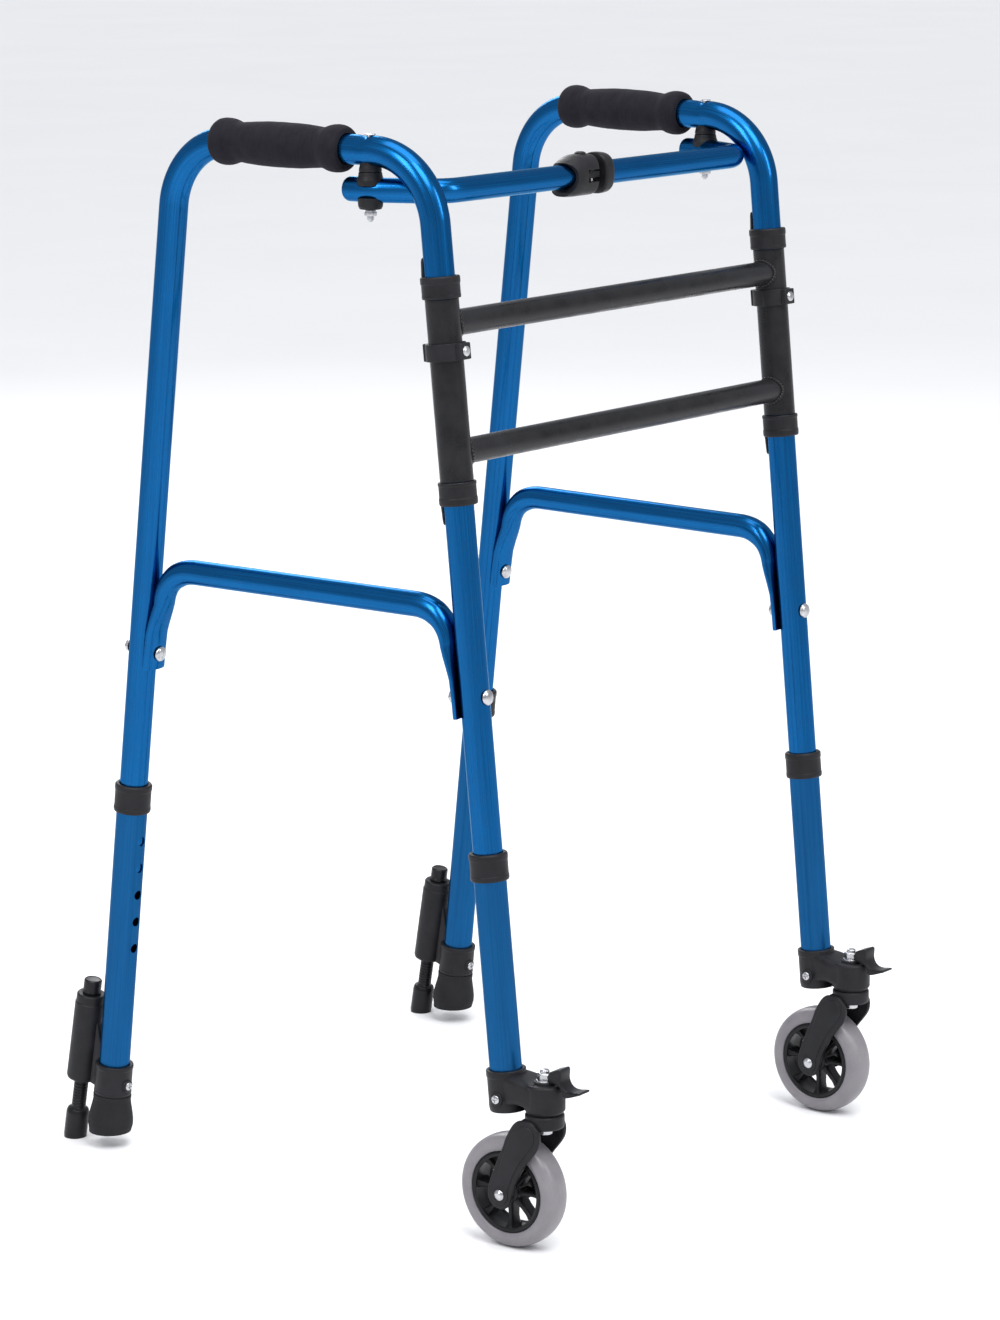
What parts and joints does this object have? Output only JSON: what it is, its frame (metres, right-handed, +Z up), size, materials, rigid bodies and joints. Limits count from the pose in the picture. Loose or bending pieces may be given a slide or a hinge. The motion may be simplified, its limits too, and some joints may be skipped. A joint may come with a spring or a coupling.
{
  "type": "folding walking frame",
  "caption": "Folding walking frame with foam grips, height-adjustable legs, two swivel casters in front and two sprung glides behind.",
  "frame": {"origin": "on the floor at the centre of the footprint", "axes": "+Z up; the user stands inside and faces -Y, with the casters in front"},
  "size_m": [0.5484, 0.585, 0.9487],
  "materials": {
    "blue": "anodised satin blue",
    "black_metal": "satin black powder coat",
    "black_plastic": "matt moulded",
    "foam": "matt foam",
    "rubber": "matt",
    "tyre": "satin grey",
    "zinc": "zinc plated"
  },
  "bodies": {
    "ladder": {"ladder": "black_metal", "bushing_top_right": "black_plastic", "bushing_top_left": "black_plastic", "bushing_low_right": "black_plastic", "bushing_low_left": "black_plastic", "sleeve_clip_right": "black_plastic", "sleeve_clip_left": "black_plastic"},
    "side_frame_right": {"frame_tube_right": "blue", "grip_right": "foam", "side_brace_right": "blue", "brace_bolt_front_right": "zinc", "brace_bolt_rear_right": "zinc", "pivot_bolt_right": "zinc", "pivot_spacer_upper_right": "black_plastic"},
    "brace_half_right": {"brace_arm_right": "blue", "lock_housing": "black_plastic", "pivot_spacer_lower_right": "black_plastic", "pivot_washer_right": "black_plastic"},
    "leg_front_right": {"lower_leg_front_right": "blue", "collar_front_right": "black_plastic", "caster_bracket_right": "black_plastic"},
    "leg_rear_right": {"lower_leg_rear_right": "blue", "collar_rear_right": "black_plastic", "rubber_foot_right": "rubber", "glide_clamp_right": "black_plastic"},
    "button_front_right": {"snap_button_front_right": "zinc"},
    "button_rear_right": {"snap_button_rear_right": "zinc"},
    "fork_right": {"caster_fork_right": "black_plastic"},
    "wheel_right": {"wheel_hub_right": "black_plastic", "tyre_right": "tyre"},
    "lock_lever_right": {"caster_lock_right": "black_plastic"},
    "glide_right": {"glide_plunger_right": "black_plastic", "glide_spring_right": "zinc"},
    "side_frame_left": {"frame_tube_left": "blue", "grip_left": "foam", "side_brace_left": "blue", "brace_bolt_front_left": "zinc", "brace_bolt_rear_left": "zinc", "pivot_bolt_left": "zinc", "pivot_spacer_upper_left": "black_plastic"},
    "brace_half_left": {"brace_arm_left": "blue", "lock_knuckle": "black_plastic", "pivot_spacer_lower_left": "black_plastic", "pivot_washer_left": "black_plastic"},
    "leg_front_left": {"lower_leg_front_left": "blue", "collar_front_left": "black_plastic", "caster_bracket_left": "black_plastic"},
    "leg_rear_left": {"lower_leg_rear_left": "blue", "collar_rear_left": "black_plastic", "rubber_foot_left": "rubber", "glide_clamp_left": "black_plastic"},
    "button_front_left": {"snap_button_front_left": "zinc"},
    "button_rear_left": {"snap_button_rear_left": "zinc"},
    "fork_left": {"caster_fork_left": "black_plastic"},
    "wheel_left": {"wheel_hub_left": "black_plastic", "tyre_left": "tyre"},
    "lock_lever_left": {"caster_lock_left": "black_plastic"},
    "glide_left": {"glide_plunger_left": "black_plastic", "glide_spring_left": "zinc"},
    "lock_button": {"lock_button": "black_plastic"}
  },
  "joints": [
    {"name": "fold_right", "type": "hinge", "parent": "ladder", "child": "side_frame_right", "pos_m": [-0.23983, -0.15188, 0.733], "axis": [0.0035, -0.1002, -0.995], "range_deg": [0, 78]},
    {"name": "brace_turn_right", "type": "hinge", "parent": "side_frame_right", "child": "brace_half_right", "pos_m": [-0.24268, -0.07031, 0.8955], "axis": [0, 0, 1], "range_deg": [0, 26.82]},
    {"name": "height_front_right", "type": "slide", "parent": "side_frame_right", "child": "leg_front_right", "axis": [-0.0035, 0.1002, 0.995], "range_m": [0, 0.10211]},
    {"name": "button_front_right", "type": "slide", "parent": "side_frame_right", "child": "button_front_right", "axis": [0.0347, -0.9944, 0.1003], "range_m": [-0.0048, 0], "stiffness_N_per_m": 600},
    {"name": "height_rear_right", "type": "slide", "parent": "side_frame_right", "child": "leg_rear_right", "axis": [0.0038, -0.1099, 0.9939], "range_m": [0, 0.10222]},
    {"name": "button_rear_right", "type": "slide", "parent": "side_frame_right", "child": "button_rear_right", "axis": [-0.0347, 0.9933, 0.1099], "range_m": [-0.0048, 0], "stiffness_N_per_m": 600},
    {"name": "swivel_right", "type": "hinge", "parent": "leg_front_right", "child": "fork_right", "pos_m": [-0.23638, -0.2507, 0.109], "axis": [0, 0, 1], "continuous": true},
    {"name": "spin_right", "type": "hinge", "parent": "fork_right", "child": "wheel_right", "pos_m": [-0.2375, -0.21872, 0.05], "axis": [-0.9994, -0.0349, 0], "continuous": true},
    {"name": "caster_lock_right", "type": "hinge", "parent": "leg_front_right", "child": "lock_lever_right", "pos_m": [-0.23577, -0.26819, 0.157], "axis": [0.9994, 0.0349, 0], "range_deg": [0, 12]},
    {"name": "glide_right", "type": "slide", "parent": "leg_rear_right", "child": "glide_right", "axis": [0.0059, -0.1685, 0.9857], "range_m": [0, 0.0135], "stiffness_N_per_m": 2500, "springref_m": -0.006},
    {"name": "fold_left", "type": "hinge", "parent": "ladder", "child": "side_frame_left", "pos_m": [0.23983, -0.15188, 0.733], "axis": [0.0035, 0.1002, 0.995], "range_deg": [0, 50]},
    {"name": "brace_turn_left", "type": "hinge", "parent": "side_frame_left", "child": "brace_half_left", "pos_m": [0.24268, -0.07031, 0.8955], "axis": [0, 0, 1], "range_deg": [-17.37, 0]},
    {"name": "height_front_left", "type": "slide", "parent": "side_frame_left", "child": "leg_front_left", "axis": [0.0035, 0.1002, 0.995], "range_m": [0, 0.10211]},
    {"name": "button_front_left", "type": "slide", "parent": "side_frame_left", "child": "button_front_left", "axis": [-0.0347, -0.9944, 0.1003], "range_m": [-0.0048, 0], "stiffness_N_per_m": 600},
    {"name": "height_rear_left", "type": "slide", "parent": "side_frame_left", "child": "leg_rear_left", "axis": [-0.0038, -0.1099, 0.9939], "range_m": [0, 0.10222]},
    {"name": "button_rear_left", "type": "slide", "parent": "side_frame_left", "child": "button_rear_left", "axis": [0.0347, 0.9933, 0.1099], "range_m": [-0.0048, 0], "stiffness_N_per_m": 600},
    {"name": "swivel_left", "type": "hinge", "parent": "leg_front_left", "child": "fork_left", "pos_m": [0.23638, -0.2507, 0.109], "axis": [0, 0, 1], "continuous": true},
    {"name": "spin_left", "type": "hinge", "parent": "fork_left", "child": "wheel_left", "pos_m": [0.2375, -0.21872, 0.05], "axis": [0.9994, -0.0349, 0], "continuous": true},
    {"name": "caster_lock_left", "type": "hinge", "parent": "leg_front_left", "child": "lock_lever_left", "pos_m": [0.23577, -0.26819, 0.157], "axis": [0.9994, -0.0349, 0], "range_deg": [0, 12]},
    {"name": "glide_left", "type": "slide", "parent": "leg_rear_left", "child": "glide_left", "axis": [-0.0059, -0.1685, 0.9857], "range_m": [0, 0.0135], "stiffness_N_per_m": 2500, "springref_m": -0.006},
    {"name": "lock_release", "type": "slide", "parent": "brace_half_right", "child": "lock_button", "axis": [0, 0, -1], "range_m": [0, 0.003], "stiffness_N_per_m": 500, "springref_m": -0.003}
  ],
  "couplings": [
    {"joint": "brace_turn_right", "follows": "fold_right", "ratio": 0.3374},
    {"joint": "brace_turn_left", "follows": "fold_left", "ratio": -0.3374}
  ]
}
